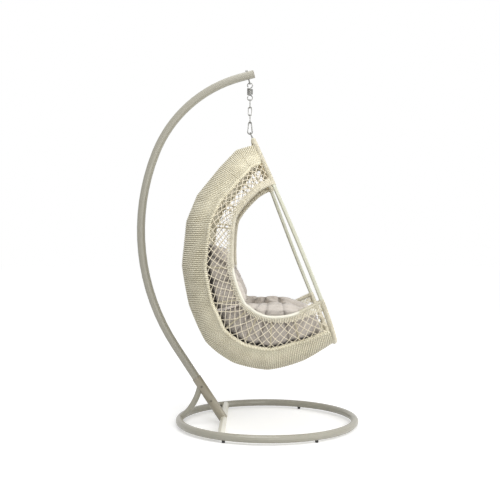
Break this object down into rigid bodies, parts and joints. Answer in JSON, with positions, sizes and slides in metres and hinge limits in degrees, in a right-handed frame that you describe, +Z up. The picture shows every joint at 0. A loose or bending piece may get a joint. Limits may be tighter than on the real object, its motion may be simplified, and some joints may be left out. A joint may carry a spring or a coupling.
{
  "type": "hanging egg chair",
  "caption": "Egg-shaped woven rope basket with tufted cushions, hung by a spring, chain and snap hook from a C-shaped steel pole on a round floor ring.",
  "frame": {"origin": "on the floor, under the middle of the bounding box", "axes": "+X towards the chair's open front, +Y towards the sitter's left, +Z up; the hanging line stands at X = 0.0148 m"},
  "size_m": [1.215, 1, 1.9495],
  "materials": {
    "powder_coated_steel": "satin powder coat, warm grey",
    "cream_coated_steel": "satin powder coat, cream",
    "zinc_plated_steel": "dull zinc plate",
    "black_plastic": "matt",
    "grey_plastic": "matt",
    "cream_rope": "twisted cord",
    "greige_linen": "plain weave"
  },
  "bodies": {
    "stand": {"c_pole": "powder_coated_steel", "cross_bar": "powder_coated_steel", "eye_bolt": "zinc_plated_steel", "eye_bolt_nut": "zinc_plated_steel", "foot_front_left": "black_plastic", "foot_front_right": "black_plastic", "foot_rear_left": "black_plastic", "foot_rear_right": "black_plastic", "pole_end_cap": "grey_plastic", "pole_socket": "powder_coated_steel", "rear_brace": "powder_coated_steel", "ring_bolt_left": "black_plastic", "ring_bolt_right": "black_plastic", "ring_front": "powder_coated_steel", "ring_rear": "powder_coated_steel", "socket_bolt_lower": "black_plastic", "socket_bolt_upper": "black_plastic"},
    "spring": {"hook_spring": "zinc_plated_steel"},
    "upper_link": {"chain_link_upper": "zinc_plated_steel"},
    "middle_link": {"chain_link_middle": "zinc_plated_steel"},
    "lower_link": {"chain_link_lower": "zinc_plated_steel"},
    "carabiner": {"carabiner_body": "zinc_plated_steel", "carabiner_gate_pin": "zinc_plated_steel"},
    "gate": {"carabiner_gate": "zinc_plated_steel"},
    "basket": {"back_band": "cream_rope", "back_cushion": "greige_linen", "edge_rail_left": "cream_coated_steel", "edge_rail_right": "cream_coated_steel", "front_hoop": "cream_coated_steel", "hanging_loop": "zinc_plated_steel", "rib_01": "cream_coated_steel", "rib_02": "cream_coated_steel", "rib_03": "cream_coated_steel", "rib_04": "cream_coated_steel", "rib_05": "cream_coated_steel", "rib_06": "cream_coated_steel", "rib_07": "cream_coated_steel", "rib_08": "cream_coated_steel", "rib_09": "cream_coated_steel", "rib_10": "cream_coated_steel", "rim_left": "cream_coated_steel", "rim_right": "cream_coated_steel", "seat_cushion": "greige_linen", "side_net_left": "cream_rope", "side_net_right": "cream_rope"}
  },
  "joints": [
    {"name": "swing_fore_aft", "type": "hinge", "parent": "stand", "child": "spring", "pos_m": [0.01484, 0, 1.872], "axis": [0, -1, 0], "range_deg": [-4, 18]},
    {"name": "spring_stretch", "type": "slide", "parent": "spring", "child": "upper_link", "axis": [0, 0, -1], "range_m": [0, 0.03], "stiffness_N_per_m": 30000, "springref_m": -0.006, "deforming": ["hook_spring"]},
    {"name": "sway_sideways", "type": "hinge", "parent": "upper_link", "child": "middle_link", "pos_m": [0.01484, 0, 1.74605], "axis": [1, 0, 0], "range_deg": [-10, 10]},
    {"name": "chair_twist", "type": "hinge", "parent": "middle_link", "child": "lower_link", "pos_m": [0.01484, 0, 1.70455], "axis": [0, 0, 1], "range_deg": [-35, 35]},
    {"name": "carabiner_pitch", "type": "hinge", "parent": "lower_link", "child": "carabiner", "pos_m": [0.01484, 0, 1.65625], "axis": [0, -1, 0], "range_deg": [-2, 8]},
    {"name": "basket_roll", "type": "hinge", "parent": "carabiner", "child": "basket", "pos_m": [0.01484, 0, 1.59665], "axis": [1, 0, 0], "range_deg": [-6, 6]},
    {"name": "gate_open", "type": "hinge", "parent": "carabiner", "child": "gate", "pos_m": [0.00559, 0, 1.63985], "axis": [0, -1, 0], "range_deg": [0, 22], "stiffness_Nm_per_rad": 0.02, "springref_deg": -11.46}
  ]
}
